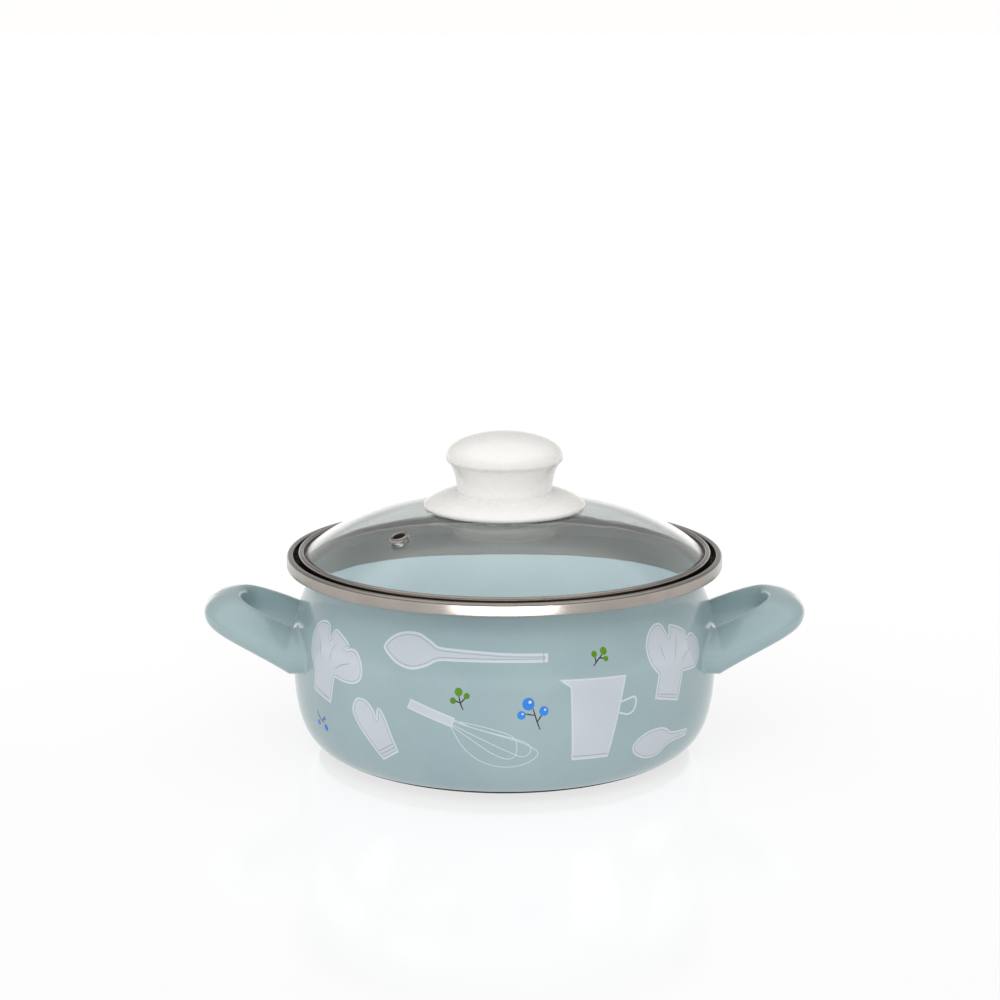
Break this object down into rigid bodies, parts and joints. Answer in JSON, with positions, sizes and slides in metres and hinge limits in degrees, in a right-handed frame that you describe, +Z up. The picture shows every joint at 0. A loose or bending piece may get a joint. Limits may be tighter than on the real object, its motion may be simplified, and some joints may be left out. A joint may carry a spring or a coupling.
{
  "type": "casserole pot with glass lid",
  "caption": "Round enamelled steel cooking pot with two hollow loop handles, steel rim band and a lift-off domed glass lid with a white knob and steam vent.",
  "frame": {"origin": "centre of the flat base, on the surface the pot stands on", "axes": "+Z up along the pot's axis, X through the two handles, -Y towards the front, where the steam vent sits to the left"},
  "size_m": [0.27, 0.1956, 0.1438],
  "materials": {
    "enamel": "glossy pale blue-grey vitreous enamel on steel",
    "stainless": "polished stainless steel strip",
    "lid_glass": "clear tempered glass with a faint green tint",
    "silicone": "black silicone",
    "knob_white": "glossy white heat-resistant plastic",
    "brass_insert": "turned brass"
  },
  "bodies": {
    "pot": {"pot_shell": "enamel", "pot_rim_band": "stainless", "handle_left_upper": "enamel", "handle_left_lower": "enamel", "handle_right_upper": "enamel", "handle_right_lower": "enamel"},
    "lid": {"lid_glass": "lid_glass", "lid_rim_band": "stainless", "lid_band_seal": "silicone", "vent_eyelet": "stainless", "vent_washer": "stainless", "knob_skirt": "knob_white", "knob_grip": "knob_white", "knob_insert": "brass_insert", "knob_screw": "stainless", "screw_washer": "stainless", "under_gasket": "silicone", "skirt_gasket": "silicone"}
  },
  "joints": [
    {"name": "lid_lift", "type": "slide", "parent": "pot", "child": "lid", "axis": [0, 0, 1], "range_m": [0, 0.12]}
  ]
}
